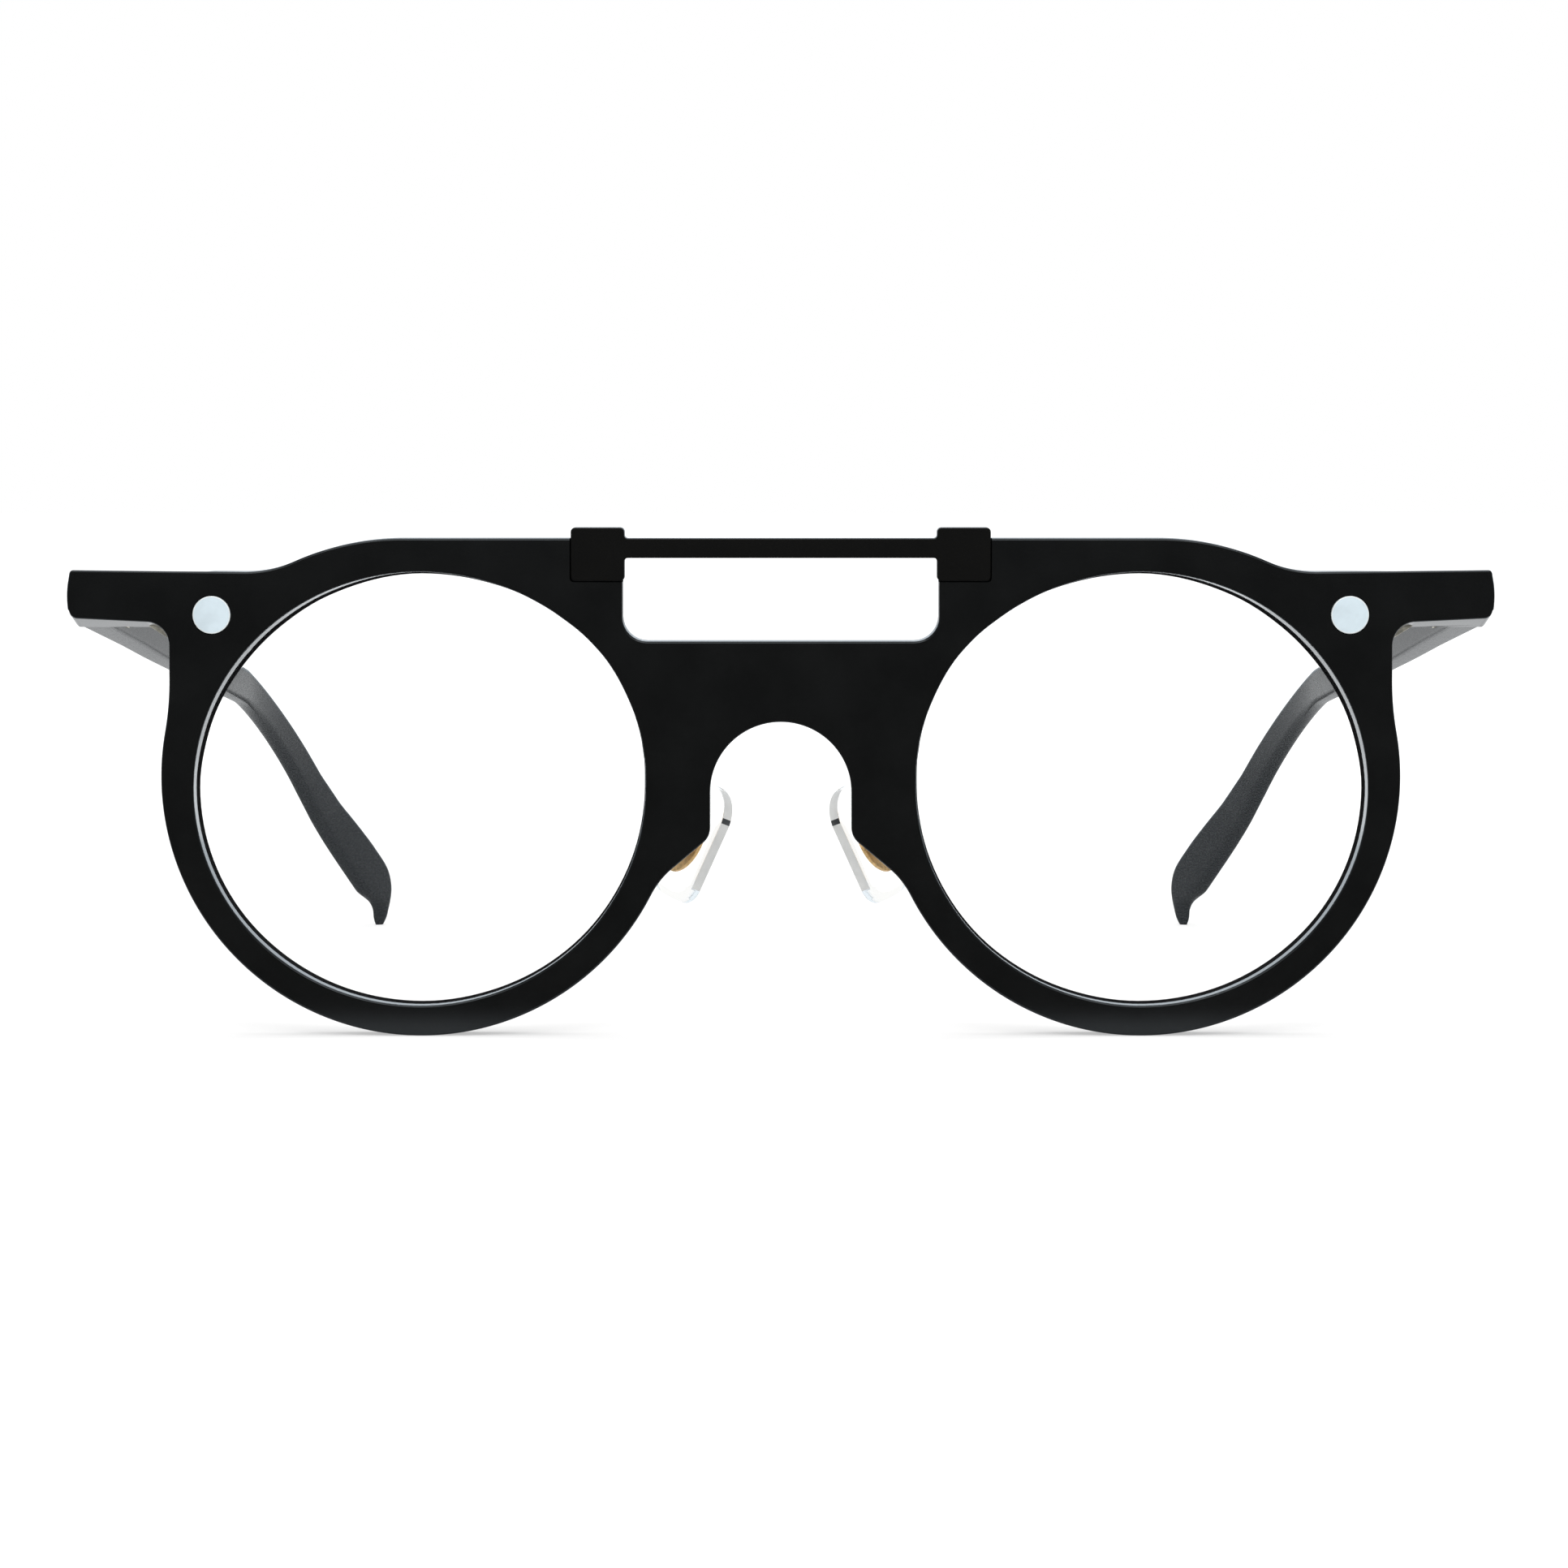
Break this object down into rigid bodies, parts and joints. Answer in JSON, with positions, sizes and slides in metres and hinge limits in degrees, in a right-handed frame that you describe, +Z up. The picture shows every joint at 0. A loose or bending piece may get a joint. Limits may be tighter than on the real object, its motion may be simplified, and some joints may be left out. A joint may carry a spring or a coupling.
{
  "type": "round eyeglasses",
  "caption": "Round black acetate eyeglasses with a flat metal brow bar, clear lenses, clear rocking nose pads and folding temples",
  "frame": {"origin": "On the floor under the middle of the object's box, with the glasses standing on the lower edges of the rims and on the temple tips, temples open", "axes": "+X across the face to the right in the picture, which is the wearer's left; +Y from the front back to the temple tips; +Z up"},
  "size_m": [0.1452, 0.1254, 0.0519],
  "materials": {
    "front_acetate": "satin black",
    "bar_metal": "matte black",
    "screw_steel": "plain",
    "lens_clear": "polished, coated",
    "rivet_metal": "pale satin",
    "hinge_metal": "satin",
    "temple_acetate": "satin black",
    "core_steel": "plain",
    "pad_gold": "polished gold",
    "pad_clear": "clear soft plastic"
  },
  "bodies": {
    "front": {"front_frame": "front_acetate", "top_bar": "bar_metal", "bar_screws": "screw_steel", "left_lens": "lens_clear", "right_lens": "lens_clear", "left_rivet": "rivet_metal", "right_rivet": "rivet_metal", "left_front_hinge": "hinge_metal", "right_front_hinge": "hinge_metal", "left_hinge_screw": "screw_steel", "right_hinge_screw": "screw_steel", "left_pad_arm": "pad_gold", "right_pad_arm": "pad_gold", "left_pad_screw": "pad_gold", "right_pad_screw": "pad_gold"},
    "left_temple": {"left_temple": "temple_acetate", "left_temple_core": "core_steel", "left_temple_hinge": "hinge_metal", "left_leaf_screws": "screw_steel"},
    "left_pad": {"left_nose_pad": "pad_clear", "left_pad_core": "pad_gold"},
    "right_temple": {"right_temple": "temple_acetate", "right_temple_core": "core_steel", "right_temple_hinge": "hinge_metal", "right_leaf_screws": "screw_steel"},
    "right_pad": {"right_nose_pad": "pad_clear", "right_pad_core": "pad_gold"}
  },
  "joints": [
    {"name": "left_temple_fold", "type": "hinge", "parent": "front", "child": "left_temple", "pos_m": [-0.06725, -0.05648, 0.04398], "axis": [0, 0, -1], "range_deg": [0, 80]},
    {"name": "right_temple_fold", "type": "hinge", "parent": "front", "child": "right_temple", "pos_m": [0.06725, -0.05648, 0.04398], "axis": [0, 0, 1], "range_deg": [0, 73]},
    {"name": "left_pad_rock", "type": "hinge", "parent": "front", "child": "left_pad", "pos_m": [-0.01127, -0.05522, 0.02026], "axis": [-0.5854, 0.766, 0.2655], "range_deg": [-12, 12]},
    {"name": "right_pad_rock", "type": "hinge", "parent": "front", "child": "right_pad", "pos_m": [0.01127, -0.05522, 0.02026], "axis": [0.5854, 0.766, 0.2655], "range_deg": [-12, 12]}
  ]
}
